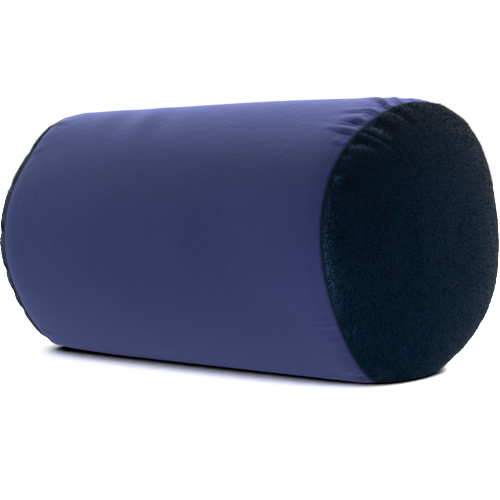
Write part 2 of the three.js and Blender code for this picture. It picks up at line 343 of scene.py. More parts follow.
@dataclass(frozen=True)
class FilledForm:
    """The form that the filling gives the sewn cover."""

    radius: float = 89  # of the tube at its middle
    seam_spacing: float = 281  # between the two seams, along the roll
    barrel_drop: float = 0.9  # how much thinner the tube is at its seams than at its middle
    groove_reach: float = 5  # how far the furrow of a seam reaches from it
    rim_share: float = 0.3  # share of a pucker's height that shows at the seam itself
    shoulder_power: float = 2.3  # how quickly the shoulders draw in
    uneven_fade: int = 2  # how quickly an end's unevenness fades along the roll
    wander_fade: int = 3  # how quickly the straying of its seam does
    gather_fade: int = 4  # how quickly a gather turns from the rim's side to the crown's face
    crown_fullness: float = 2.4  # of the crowned discs
    crown_roundness: float = 1.85  # of their rims
    foot_sink: float = 7.4  # height of the underside that the roll's weight presses flat
    foot_blend: float = 3  # height over which the flat spot eases into the round
    far_blend: float = 6  # how much more gently it eases at the far end
    far_reach: float = 60  # how far from the far seam it does
    near: RollEnd = NEAR_END
    far: RollEnd = FAR_END
    swells: tuple[Swell, ...] = SWELLS
    centre: Pair = (0.0, 0.0)  # where the middle of the axis lies, along X and Y
    box_steps: tuple[int, ...] = (160, 40, 30)  # angles, stations and shares that measure its box

    @property
    def half(self) -> float:
        """Distance of each seam from the middle of the roll."""
        return self.seam_spacing / 2

    @property
    def axis_height(self) -> float:
        """Height of the roll's axis above the floor."""
        return self.radius - self.foot_sink

    @property
    def axis_middle(self) -> Vector:
        """The middle of the roll's axis, in metres."""
        return Vector((*self.centre, self.axis_height)) * MM

    def end(self, side: Side) -> RollEnd:
        """The end on one side."""
        return self.near if side is Side.NEAR else self.far

    def seam_radius(self, side: Side) -> float:
        """Radius of the tube at a seam, before its unevenness."""
        return float(self.tube_radius(np.array(side.value * self.half)))

    def tube_radius(self, x: Array) -> Array:
        """Radius of the tube before its unevenness.

        Args:
            x: Stations along the roll.

        Returns:
            A radius for each.
        """
        from_seam = self.half - np.abs(x)
        ends = [(end.shoulder_drop, end.shoulder_length, end.groove_depth) for end in (self.near, self.far)]
        drop, length, depth = (np.where(x > 0, *pair) for pair in zip(*ends))
        shoulder = drop * np.clip(1 - from_seam / length, 0, 1) ** self.shoulder_power
        barrel = self.barrel_drop * (x / self.half) ** 2
        groove = depth * np.exp(-((from_seam / self.groove_reach) ** 2))
        return self.radius - barrel - shoulder - groove

    def crown_rise(self, share: Array) -> Array:
        """Rise of a disc's crown, from none at its rim to one at its middle."""
        return np.maximum(1 - share**self.crown_fullness, 0) ** (1 / self.crown_roundness)

    def disc_distance(self, side: Side, share: Array) -> Array:
        """Distance over the crown from the seam, at shares of the disc's radius."""
        return (1 - share) * self.seam_radius(side) + self.crown_rise(share) * self.end(side).crown

    def axis_point(self, x: float) -> Array:
        """A point of the roll's axis, in metres."""
        return np.array([x + self.centre[0], self.centre[1], self.axis_height]) * MM

    def crown_point(self, side: Side) -> Array:
        """The middle of a disc's crown, in metres."""
        return self.disc_points(side, np.zeros(1), np.zeros(1))[0, 0]

    def _puckers(self, end: RollEnd, angle: Array, distance: Array) -> Array:
        """Height of an end's puckers at places on the tube."""
        rise = self.rim_share + (1 - self.rim_share) * np.clip(distance / self.groove_reach, 0, 1)
        return rise * sum_folds(end.puckers + end.creases, angle, distance, self.radius)

    def _swelling(self, x: Array, angle: Array) -> Array:
        """Height of the swells at places on the tube."""
        return sum(swell.at(x, angle, self.radius) for swell in self.swells)

    def _rest(self, z: Array, x: Array) -> Array:
        """Eases heights down to the flat spot on the floor.

        Args:
            z: Heights above the axis.
            x: Stations along it.

        Returns:
            Heights above the axis, none of them under the floor.
        """
        blend = self.foot_blend + self.far_blend * np.clip(1 - (x + self.half) / self.far_reach, 0, 1)
        over = z + self.axis_height
        eased = (over + blend) ** 2 / (4 * blend)
        return np.where(over > blend, z, np.where(over < -blend, 0, eased) - self.axis_height)

    def _place(self, x: Array, radius: Array, angle: Array) -> Array:
        """Points round the roll's axis, with the floor at no height.

        Args:
            x: Their stations along the roll.
            radius: Their distances from its axis, before the floor presses them.
            angle: Their angles round it.

        Returns:
            Points in metres.
        """
        turn = np.radians(angle)
        x, y, z = np.broadcast_arrays(x, radius * np.cos(turn), self._rest(radius * np.sin(turn), x))
        return np.stack([x + self.centre[0], y + self.centre[1], z + self.axis_height], axis=-1) * MM

    def seated(self, low: Sequence[float], high: Sequence[float]) -> "FilledForm":
        """The same form, moved so that its box has the same centre as the solids' box.

        Args:
            low: Lowest corner of the solids' box, in metres.
            high: Highest corner of it.

        Returns:
            The moved form.
        """
        turns, rows, rings = self.box_steps
        angles, shares = even_angles(turns), np.linspace(0, 1, rings)
        patches = [self.tube_points(np.linspace(-self.half, self.half, rows), angles)]
        patches += [self.disc_points(side, shares, angles) for side in Side]
        points = np.concatenate([patch.reshape(-1, 3) for patch in patches]) / MM
        middle = (points.min(axis=0) + points.max(axis=0)) / 2
        wanted = (np.array(low) + np.array(high)) / 2 / MM
        return replace(self, centre=(wanted[0] - middle[0], wanted[1] - middle[1]))

    def tube_points(self, x: Array, angle: Array, relief: Array | float = 0.0) -> Array:
        """Points of the tube.

        Args:
            x: Stations along the roll, one row each.
            angle: Angles round the roll, one column each.
            relief: Heights to add, rows by columns.

        Returns:
            Points in metres, rows by columns by three.
        """
        x, angle = x[:, None], angle[None, :]
        nearness = (1 + x / self.half) / 2
        ends = ((self.near, nearness, self.half - x), (self.far, 1 - nearness, self.half + x))
        uneven = wander = puckers = 0.0
        for end, presence, from_seam in ends:
            uneven = uneven + sum_waves(end.waves, angle) * presence**self.uneven_fade
            wander = wander + sum_waves(end.wander, angle) * presence**self.wander_fade
            puckers = puckers + self._puckers(end, angle, from_seam)
        radius = self.tube_radius(x) + uneven + puckers + self._swelling(x, angle) + relief
        return self._place(x + wander, radius, angle)

    def disc_points(self, side: Side, share: Array, angle: Array, relief: Array | float = 0.0) -> Array:
        """Points of the crown of an end disc.

        Args:
            side: Which end.
            share: Shares of the disc's radius, one row each.
            angle: Angles round the roll, one column each.
            relief: Heights to add, rows by columns.

        Returns:
            Points in metres, rows by columns by three.
        """
        end, seam = self.end(side), np.array(side.value * self.half)
        share, angle = share[:, None], angle[None, :]
        rim = self._puckers(end, angle, np.zeros(1)) + self._swelling(seam, angle)
        from_seam = self.disc_distance(side, share)
        start = np.clip(from_seam / self.groove_reach, 0, 1)
        gather = sum_folds(end.gathers + end.tucks, angle, from_seam, self.radius) * start - relief
        sideways = share**self.gather_fade
        out = self.half + self.crown_rise(share) * end.crown - gather * (1 - sideways)
        wander = sum_waves(end.wander, angle) * share
        rim = (sum_waves(end.waves, angle) + rim) * share**self.uneven_fade
        radius = self.seam_radius(side) * share + rim - gather * sideways
        return self._place(side.value * out + wander, radius, angle)


def even_angles(columns: int) -> Array:
    """Angles at even steps round the roll."""
    return np.arange(columns) * 360 / columns


def spread_angles(columns: int, fine: Pair, ratio: float, blend: float = 8) -> Array:
    """Angles round the roll that lie closer together over one stretch.

    Args:
        columns: Number of angles.
        fine: First and last angle of the stretch.
        ratio: How many times closer together they lie there.
        blend: Degrees over which the steps change.

    Returns:
        Increasing angles from zero up to a full turn.
    """
    marks = np.arange(361.0)
    inside = np.clip(np.minimum(marks - fine[0], fine[1] - marks) / blend + 0.5, 0, 1)
    density = 1 + (ratio - 1) * inside
    passed = np.concatenate([[0.0], np.cumsum((density[1:] + density[:-1]) / 2)])
    return np.interp(np.arange(columns) * passed[-1] / columns, passed, marks)


def stations(half: float, first: float, growth: float, largest: float) -> Array:
    """Stations along the tube whose steps grow from fine at the seams to coarse.

    Args:
        half: Distance of each seam from the middle.
        first: The first step from a seam.
        growth: How much longer each step is than the one before.
        largest: The longest step.

    Returns:
        Increasing stations, from seam to seam.
    """
    distances, step = [0.0], first
    while distances[-1] < half:
        distances.append(distances[-1] + step)
        step = min(step * growth, largest)
    from_seam = np.array(distances) * (half / distances[-1])
    return np.concatenate([from_seam - half, (half - from_seam[:-1])[::-1]])


def put(name: str, data: bpy.types.ID) -> Object:
    """Places an object in the scene, at the origin.

    Args:
        name: Its name.
        data: The mesh or the light that it shows.

    Returns:
        The object.
    """
    made = bpy.data.objects.new(name, data)
    bpy.context.scene.collection.objects.link(made)
    return made


def face_corners(grid: Array, first: Array, last: Array) -> list[Array]:
    """The corners of the faces between rings of points, and of the fans that close them.

    Args:
        grid: A value for each point, rings by columns, with the first column once more at the end.
        first: The value at the first pole, for each face of its fan.
        last: The value at the last pole.

    Returns:
        The corners of the faces between rings, of the first fan and of the last.
    """
    between = np.stack([grid[:-1, :-1], grid[:-1, 1:], grid[1:, 1:], grid[1:, :-1]], axis=2)
    first_fan = np.stack([first, grid[0, 1:], grid[0, :-1]], axis=1)
    last_fan = np.stack([grid[-1, :-1], grid[-1, 1:], last], axis=1)
    return [between.reshape(-1, *between.shape[2:]), first_fan, last_fan]


def grid_mesh(name: str, points: Array, poles: Sequence[Array], cloth: tuple | None = None) -> Object:
    """A closed mesh of rings of points between two poles.

    Args:
        name: Name of the object.
        points: Rings by points round them by three. Rings run along +X, and points from +Y to +Z.
        poles: The points that close the first ring and the last.
        cloth: The distance of each ring along the cloth and the angle of each column, for a UV map.

    Returns:
        The object, with its faces outwards and any UV map in metres of cloth.
    """
    rings, columns = points.shape[:2]
    count = rings * columns
    index = np.pad(np.arange(count).reshape(rings, columns), ((0, 0), (0, 1)), mode="wrap")
    faces = face_corners(index, np.full(columns, count), np.full(columns, count + 1))
    mesh = bpy.data.meshes.new(name)
    vertices = np.concatenate([points.reshape(-1, 3), poles])
    mesh.from_pydata(vertices.tolist(), [], [face for part in faces for face in part.tolist()])
    mesh.shade_smooth()
    if cloth is not None:
        lengths, angles = cloth
        arcs = np.radians(np.append(angles, 360)) * FilledForm().radius * MM
        uv = np.stack(np.broadcast_arrays(arcs, lengths[:, None] * MM), axis=-1)
        corners = face_corners(uv, *((uv[ring, :-1] + uv[ring, 1:]) / 2 for ring in (0, -1)))
        layer = mesh.uv_layers.new(name="cloth")
        layer.data.foreach_set("uv", np.concatenate([part.ravel() for part in corners]).astype(np.float32))
    mesh.validate()
    return put(name, mesh)


@dataclass(frozen=True)
class SewnFilling:
    """The pull of the sewn seams on the filled cover, from a cloth simulation."""

    columns: int = 200  # steps round the roll
    rows: int = 21  # rings of a disc
    rim_angle: float = 0.06  # where its first ring lies, in radians over the crown
    steps: Triple = (2.6, 1.08, 8)  # first, growth and largest along the tube
    frames: int = 20  # that the filling has to settle in
    pressure: float = 4.0  # push of the filling on the cloth
    looseness: float = 0.05  # how much longer the cloth is than the form at a slack place
    slack_reach: float = 26  # how far from a seam the cloth is slack
    taut_reach: float = 4  # how far from it the stitches keep the cloth from that
    hold: float = 0.12  # how firmly the cloth keeps to the form away from the seams
    seam_hold: float = 0.75  # how much more firmly it does at a seam
    seam_width: float = 1.0  # how far a seam reaches
    lying_height: float = 3  # height above the floor up to which the cloth is held still
    lifted_height: float = 8  # height at which the folds show fully
    cap: float = 3.0  # the furthest that the cloth may leave the form
    outline_waves: int = 8  # waves round the roll that belong to its outline and stay as they are
    fade_reach: float = 20  # distance from a seam over which the folds fade out
    gathered_share: float = 0.55  # share of the folds that shows where a seam is gathered
    smooth_share: float = 0.06  # share of them that shows where a seam lies smooth
    smooth_blend: float = 16  # degrees over which a seam turns from gathered to smooth

    def relief(self, form: FilledForm) -> dict[str, ReliefGrid]:
        """Simulates the cover and measures what its seams add to the form.

        Args:
            form: The form of the filled roll.

        Returns:
            The heights for "tube", "NEAR" and "FAR".
        """
        plain = {side.name.lower(): replace(form.end(side), creases=(), tucks=()) for side in Side}
        form = replace(form, **plain)
        x, angles = stations(form.half, *self.steps), even_angles(self.columns)
        shares = np.cos(np.linspace(self.rim_angle, math.pi / 2, self.rows + 1)[:-1])
        near, far = (form.disc_points(side, shares, angles) for side in Side)
        near_distance, far_distance = (form.disc_distance(side, shares) for side in Side)
        points = np.concatenate([far[::-1], form.tube_points(x, angles), near])
        shell = grid_mesh("cover_shell", points, [form.crown_point(Side.FAR), form.crown_point(Side.NEAR)])
        distance = np.concatenate([far_distance[::-1], form.half - np.abs(x), near_distance])
        heights = self._simulate(shell, points, distance)
        bpy.data.objects.remove(shell, do_unlink=True)
        split = self.rows + len(x) // 2
        heights[:split] *= self._shown(form.far, angles)
        heights[split:] *= self._shown(form.near, angles)
        return {
            "tube": ReliefGrid(x, heights[self.rows : -self.rows]),
            "NEAR": ReliefGrid(near_distance, heights[-self.rows :]),
            "FAR": ReliefGrid(far_distance, heights[: self.rows][::-1]),
        }

    def _shown(self, end: RollEnd, angles: Array) -> Array:
        """How much of the folds shows round one end.

        Args:
            end: The end.
            angles: Angles round the roll.

        Returns:
            A share for each angle.
        """
        first, last = end.smooth
        beyond = np.maximum(first - angles, angles - last)
        gathered = np.clip(beyond / self.smooth_blend + 0.5, 0, 1)
        return self.smooth_share + (self.gathered_share - self.smooth_share) * gathered

    def _simulate(self, shell: Object, points: Array, distance: Array) -> Array:
        """Runs the cloth and measures the folds that it makes.

        Args:
            shell: The mesh of the whole cover.
            points: Its points, rings by columns by three.
            distance: Distance of each ring from its seam.

        Returns:
            Heights, rings by columns.
        """
        away, height = distance[:, None], points[:, :, 2]
        slack = np.exp(-((away / self.slack_reach) ** 2)) * np.clip(away / self.taut_reach, 0, 1)
        hold = np.clip(self.hold + self.seam_hold * (away < self.seam_width), 0, 1)
        self._weigh(shell, "hold", np.where(height < self.lying_height * MM, 1.0, hold))
        self._weigh(shell, "tight", np.broadcast_to(1 - slack, height.shape))
        modifier = shell.modifiers.new("cloth", "CLOTH")
        facts = {
            "quality": 6,
            "mass": 0.1,
            "tension_stiffness": 20,
            "compression_stiffness": 12,
            "shear_stiffness": 6,
            "bending_stiffness": 0.06,
            "use_pressure": True,
            "uniform_pressure_force": self.pressure,
            "vertex_group_mass": "hold",
            "pin_stiffness": 1.0,
            "vertex_group_shrink": "tight",
            "shrink_min": -self.looseness,
            "shrink_max": 0.0,
        }
        for name, value in facts.items():
            setattr(modifier.settings, name, value)
        modifier.settings.effector_weights.gravity = 0
        scene = bpy.context.scene
        for timed in (scene, modifier.point_cache):
            timed.frame_start, timed.frame_end = 1, self.frames
        for number in range(1, self.frames + 1):
            scene.frame_set(number)
        evaluated = shell.evaluated_get(bpy.context.evaluated_depsgraph_get())
        settled = self._read(evaluated.data.vertices, "co")
        started, normals = self._read(shell.data.vertices, "co"), self._read(shell.data.vertices, "normal")
        shell.modifiers.clear()
        scene.frame_set(1)
        moved = ((settled - started) * normals).sum(axis=1) / MM
        moved = moved[: height.size].reshape(height.shape)
        log.info("cloth moved %.2f to %.2f mm", moved.min(), moved.max())
        ripples = scale_waves(moved, slice(self.outline_waves), 0)
        lifted = np.clip(height / (self.lifted_height * MM), 0, 1)
        fade = np.exp(-((away / self.fade_reach) ** 2))
        return np.clip(ripples, -self.cap, self.cap) * lifted * fade

    @staticmethod
    def _read(vertices: bpy.types.bpy_prop_collection, name: str) -> Array:
        """Reads a vector of each vertex.

        Args:
            vertices: The vertices of a mesh.
            name: Name of the vector.

        Returns:
            One row for each vertex.
        """
        values = np.empty(len(vertices) * 3, dtype=np.float32)
        vertices.foreach_get(name, values)
        return values.reshape(-1, 3)

    @staticmethod
    def _weigh(shell: Object, name: str, weights: Array) -> None:
        """Writes a vertex group of the shell.

        Args:
            shell: The mesh of the whole cover.
            name: Name of the group.
            weights: A weight for each point of its rings. The poles get the last one.
        """
        group = shell.vertex_groups.new(name=name)
        for index in range(len(shell.data.vertices)):
            group.add([index], float(weights.flat[min(index, weights.size - 1)]), "REPLACE")


class NodeGraph:
    """A node tree whose nodes are added and linked in few words."""

    def __init__(self, tree: bpy.types.NodeTree) -> None:
        """Takes a tree."""
        self.nodes, self.links = tree.nodes, tree.links

    def add(self, kind: str, inputs: dict[str | int, object] | None = None, **settings: object) -> Node:
        """Adds a node.

        Args:
            kind: Type name of the node.
            inputs: Values or output sockets for its inputs, by name or number.
            settings: Values for its own properties.

        Returns:
            The node.
        """
        node = self.nodes.new(kind)
        for key, value in settings.items():
            setattr(node, key, value)
        for key, value in (inputs or {}).items():
            self.feed(node, key, value)
        return node

    def step(self, kind: str, inputs: dict[str | int, object] | None = None, **settings: object) -> Socket:
        """Adds a node, as add does, and gives its first output."""
        return self.add(kind, inputs, **settings).outputs[0]

    def feed(self, node: Node, key: str | int, value: object) -> None:
        """Gives an input of a node its value.

        Args:
            node: The node.
            key: Name or number of the input.
            value: A plain value, or an output socket to link to it.
        """
        if isinstance(value, Socket):
            self.links.new(value, node.inputs[key])
        else:
            node.inputs[key].default_value = value

    def math(self, operation: str, first: object, second: object = 0.0) -> Socket:
        """The result of one arithmetic step on values or sockets."""
        return self.step("ShaderNodeMath", {0: first, 1: second}, operation=operation)

    def vector(self, operation: str, first: object, second: object = (0, 0, 0), output: int = 0) -> Socket:
        """A result of one step on vectors."""
        return self.add("ShaderNodeVectorMath", {0: first, 1: second}, operation=operation).outputs[output]

    def noise(self, scale: object, detail: float, place: Socket | None = None, output: int = 0) -> Socket:
        """Smooth noise, from none to one, with about so many patches along each metre."""
        inputs = {"Scale": scale, "Detail": detail} | ({} if place is None else {"Vector": place})
        return self.add("ShaderNodeTexNoise", inputs).outputs[output]

    def ranged(
        self, value: object, source: tuple = (0.0, 1.0), result: tuple = (0.0, 1.0), **settings: object
    ) -> Socket:
        """What goes from one result to another as a value goes through its range.

        Args:
            value: The value, or an output socket.
            source: Start and end of its range.
            result: The results there.
            settings: Values for the node's own properties.

        Returns:
            The socket that gives it.
        """
        limits = dict(zip(("From Min", "From Max", "To Min", "To Max"), (*source, *result)))
        return self.step("ShaderNodeMapRange", {"Value": value} | limits, **settings)


class ShaderGraph(NodeGraph):
    """The nodes of a matte material with one Principled shader."""

    def __init__(self, name: str) -> None:
        """Starts a material.

        Args:
            name: Its name.
        """
        self.material = bpy.data.materials.new(name)
        self.material.use_nodes = True
        super().__init__(self.material.node_tree)

    def shade(self, colour: object, roughness: float, **values: object) -> Material:
        """Finishes the material.

        Args:
            colour: Its colour, or an output socket.
            roughness: Its roughness.
            values: Other inputs of the shader, named with underscores for spaces.

        Returns:
            The material.
        """
        values = {"Base Color": colour, "Roughness": roughness, "Specular IOR Level": 0.0} | values
        for key, value in values.items():
            self.feed(self.nodes["Principled BSDF"], key.replace("_", " "), value)
        return self.material

    def attribute(self, name: str, output: str = "Fac") -> Socket:
        """The value that the mesh holds under a name."""
        return self.add("ShaderNodeAttribute", attribute_name=name).outputs[output]

    def ramp(self, factor: Socket, low: Colour, high: Colour, limits: Pair) -> Socket:
        """Blends two colours.

        Args:
            factor: What goes from the one to the other.
            low: The first colour.
            high: The second colour.
            limits: Where the blend starts and where it ends.

        Returns:
            The colour.
        """
        node = self.add("ShaderNodeValToRGB", {"Fac": factor})
        for stop, position, colour in zip(node.color_ramp.elements, limits, (low, high)):
            stop.position, stop.color = position, colour
        return node.outputs["Color"]

    def mixed(self, factor: object, first: object, second: object) -> Socket:
        """A blend of two colours, the second where the factor is one."""
        return self.add("ShaderNodeMix", {0: factor, 6: first, 7: second}, data_type="RGBA").outputs[2]

    def combed(self, attribute: str, share: float) -> Socket:
        """The surface's normal, turned towards another.

        Args:
            attribute: Name of the attribute that holds the other.
            share: How far it is turned.

        Returns:
            The normal.
        """
        own = self.add("ShaderNodeNewGeometry").outputs["Normal"]
        inputs = {0: share, 4: own, 5: self.attribute(attribute, "Vector")}
        return self.vector("NORMALIZE", self.add("ShaderNodeMix", inputs, data_type="VECTOR").outputs[1])

    def object_place(self) -> Socket:
        """The place on the object, in metres."""
        return self.add("ShaderNodeTexCoord").outputs["Object"]


def srgb(*screen: int) -> Colour:
    """The linear colour of screen values from 0 to 255."""
    shares = (value / 255 for value in screen)
    return (*(s / 12.92 if s <= 0.04045 else ((s + 0.055) / 1.055) ** 2.4 for s in shares), 1.0)


@dataclass(frozen=True)
class JerseyFinish:
    """Smooth stretch jersey: fine ribs of knit, a soft sheen and slight unevenness of dye, in metres."""

    deep: Colour = srgb(37, 42, 82)  # where the dye is deepest
    light: Colour = srgb(41, 46, 88)  # where it is lightest
    dye_patch: float = 0.05  # size of a patch of dye
    dye_limits: Pair = (0.35, 0.65)  # how evenly the two shades meet
    wale: float = 0.00062  # width of a rib of the knit
    course: float = 0.0005  # height of a row of it
    knit_share: float = 0.5  # share of the ribs in its relief
    uneven: float = 0.004  # size of the unevenness in it
    relief: float = 0.00003  # height of the relief
    relief_strength: float = 0.5
    crumple: float = 0.00022  # height of the soft crumples of the stretched cloth
    crumple_size: float = 0.005
    roughness: float = 0.6
    sheen_roughness: float = 0.5
    sheen_tint: Colour = srgb(172, 182, 255)

    def build(self) -> Material:
        """Builds the material.

        Returns:
            The material.
        """
        graph = ShaderGraph("stretch_jersey")
        place = graph.object_place()
        dye = graph.noise(1 / self.dye_patch, 3.0, place)
        cloth = graph.step("ShaderNodeUVMap", uv_map="cloth")
        split = graph.add("ShaderNodeSeparateXYZ", {"Vector": cloth}).outputs
        wales = graph.math("SINE", graph.math("MULTIPLY", split["X"], 2 * math.pi / self.wale))
        courses = graph.math("SINE", graph.math("MULTIPLY", split["Y"], 2 * math.pi / self.course))
        knit = graph.math("MULTIPLY", graph.math("MULTIPLY", wales, courses), self.knit_share)
        height = graph.math("ADD", knit, graph.noise(1 / self.uneven, 3.0, place))
        creased = graph.noise(1 / self.crumple_size, 2.0, place)
        crumple = graph.step("ShaderNodeBump", {"Distance": self.crumple, "Height": creased})
        knitted = {"Strength": self.relief_strength, "Distance": self.relief, "Height": height}
        return graph.shade(
            graph.ramp(dye, self.deep, self.light, self.dye_limits),
            self.roughness,
            Sheen_Weight=1.0,
            Sheen_Roughness=self.sheen_roughness,
            Sheen_Tint=self.sheen_tint,
            Normal=graph.step("ShaderNodeBump", knitted | {"Normal": crumple}),
        )


@dataclass(frozen=True)
class PlushFinish:
    """Short-pile plush: nearly black navy, painted lighter as a sheen where the disc turns side on to the
    camera.
    """

    deep: Colour = srgb(4, 14, 26)  # between the tufts
    light: Colour = srgb(9, 28, 44)  # of the tips
    brushed: Colour = srgb(48, 61, 82)  # painted sheen, where the disc turns side on to the camera
    shade_limits: Pair = (0.35, 0.65)  # how evenly deep and light meet
    patch: float = 0.012  # size of a brushed patch, in metres
    patch_share: float = 0.6  # its share in the shade
    grain: float = 0.0009  # size of a tuft, in metres
    grain_share: float = 0.4  # its share in the shade
    roughness: float = 0.9
    sheen: float = 0.4
    sheen_roughness: float = 0.5
    sheen_tint: Colour = srgb(150, 165, 185)

    def build(self) -> Material:
        """Builds the material.

        Returns:
            The material.
        """
        graph = ShaderGraph("plush_pile")
        place = graph.object_place()
        patches = graph.math("MULTIPLY", graph.noise(1 / self.patch, 3.0, place), self.patch_share)
        grain = graph.math("MULTIPLY", graph.noise(1 / self.grain, 2.0, place), self.grain_share)
        shade = graph.math("ADD", patches, grain)
        colour = graph.ramp(shade, self.deep, self.light, self.shade_limits)
        # The painted sheen lightens the plush where the disc turns side on to the camera.
        return graph.shade(
            graph.mixed(graph.attribute("brushed"), colour, self.brushed),
            self.roughness,
            Sheen_Weight=self.sheen,
            Sheen_Roughness=self.sheen_roughness,
            Sheen_Tint=self.sheen_tint,
        )


@dataclass(frozen=True)
class TuftFinish:
    """The tufts of the plush, with painted shade towards their roots, and painted sheen and highlight on
    their tips.
    """

    # root and tip: the tufts are painted darker towards their roots, as painted shade of the pile's depths
    root: Colour = srgb(4, 16, 28)
    tip: Colour = srgb(9, 55, 83)
    brushed: Colour = srgb(140, 138, 142)  # tips painted light as a sheen where the disc turns side on to the camera
    open_pile_and_highlight: Colour = srgb(108, 164, 226)  # tips where a seam presses the pile open, and painted highlight on fold walls that face up
    root_light: float = 0.3  # how much of the tip's colour the root already has, under the painted shade towards the roots
    combed: float = 0.45  # how far a tuft's shading follows the cloth under it
    roughness: float = 0.8
    sheen_roughness: float = 0.32
    sheen_tint: Colour = srgb(204, 200, 204)

    def build(self) -> Material:
        """Builds the material.

        Returns:
            The material.
        """
        graph = ShaderGraph("plush_tufts")
        # Painted shade: the tufts darker towards their roots, times the random shade of their clumps.
        lit = graph.math("MULTIPLY", graph.attribute("tip"), 1 - self.root_light)
        lit = graph.math("MULTIPLY", graph.math("ADD", lit, self.root_light), graph.attribute("shade"))
        # Painted light and shade on the walls of the gathers: lighter where they face up, darker where they
        # face down.
        lit = graph.math("MULTIPLY", lit, graph.attribute("painted_fold_shading"))
        # Tips painted lighter as a sheen where the disc turns side on to the camera.
        tips = graph.mixed(graph.attribute("brushed"), self.tip, self.brushed)
        # Tips in the open-pile colour where a seam presses the pile open, and as a painted highlight on
        # fold walls that face up.
        tips = graph.mixed(graph.attribute("open_pile_and_highlight"), tips, self.open_pile_and_highlight)
        return graph.shade(
            graph.mixed(lit, self.root, tips),
            self.roughness,
            Sheen_Weight=1.0,
            Sheen_Roughness=self.sheen_roughness,
            Sheen_Tint=self.sheen_tint,
            Normal=graph.combed("bed", self.combed),
        )


@dataclass(frozen=True)
class FloorFinish:
    """A matte pale floor, exposed to white as a studio sweep is, with a contact shadow painted darker round
    the roll.
    """

    white: float = 1.9  # how much light it throws back at the roll
    seen: float = 5.0  # how bright the camera sees it round the roll
    seen_afar: float = 40.0  # how bright the camera sees it where the lights no longer reach
    near: float = 0.35  # distance at which the one begins to turn into the other, in metres
    afar: float = 3.0  # distance at which it has
    painted_shadow_limits: Pair = (0.16, 0.4)  # painted contact shadow: openness to the sky at which the floor is painted black, and bright
    painted_shadow_reach: float = 0.1  # distance over which that openness is felt for the painted shadow, in metres
    samples: int = 16  # of that openness

    def build(self) -> Material:
        """Builds the material.

        Returns:
            The material.
        """
        graph = ShaderGraph("studio_floor")
        looked_at = graph.add("ShaderNodeLightPath").outputs["Is Camera Ray"]
        away = graph.vector("LENGTH", graph.object_place(), output=1)
        seen = graph.ranged(away, (self.near, self.afar), (self.seen, self.seen_afar))
        # Painted contact shadow: the floor is seen darker where the roll closes it off from the sky.
        reach = {"Distance": self.painted_shadow_reach}
        openness = graph.add("ShaderNodeAmbientOcclusion", reach, samples=self.samples).outputs["AO"]
        lit = graph.ranged(openness, self.painted_shadow_limits, interpolation_type="SMOOTHSTEP")
        bright = graph.math("MULTIPLY", seen, lit)
        return graph.shade(graph.ranged(looked_at, result=(self.white, bright)), 1.0)


@dataclass
class TubePanel:
    """The tube of jersey round the filling."""

    form: FilledForm
    columns: int = 540  # steps round the tube
    steps: Triple = (0.35, 1.09, 3.0)  # first, growth and largest along it
    fine: Pair = (82, 142)  # angles whose small folds need the columns closer together
    fineness: float = 2.2  # how many times closer they are there
    lip: float = 1.3  # how far the jersey rolls inwards at a seam
    lip_length: float = 1.8  # the length over which it rolls in
    turned_in: tuple[float, ...] = (1.5, 4.0)  # depths of the hidden hem behind each seam

    def build(self, relief: ReliefGrid, finish: Material) -> Object:
        """Builds and dresses the panel.

        Args:
            relief: What the simulated cloth adds to it.
            finish: The jersey.

        Returns:
            The piece.
        """
        half = self.form.half
        x = stations(half, *self.steps)
        angles = spread_angles(self.columns, self.fine, self.fineness)
        rolled = np.clip(1 - (half - np.abs(x)) / self.lip_length, 0, 1)
        heights = relief.sample(x, angles) - (self.lip * (1 - np.sqrt(1 - rolled**2)))[:, None]
        far_hem, near_hem = self._hem(-half, angles, heights[0]), self._hem(half, angles, heights[-1])
        rings = np.concatenate([far_hem[::-1], self.form.tube_points(x, angles, heights), near_hem])
        cloth = np.pad(x, len(self.turned_in), mode="edge")
        poles = self.form.axis_point(-half), self.form.axis_point(half)
        piece = grid_mesh("tube_jersey", rings, poles, (cloth, angles))
        return dress(piece, finish, "tube_panel")

    def _hem(self, x: float, angles: Array, rim: Array) -> Array:
        """The hidden hem behind a seam.

        Args:
            x: Station of the seam.
            angles: Angles of the columns.
            rim: Heights of the seam above the form.

        Returns:
            Rings of points, outermost first.
        """
        seam, rows = np.array([x]), [rim[None] - depth for depth in self.turned_in]
        return np.concatenate([self.form.tube_points(seam, angles, row) for row in rows])


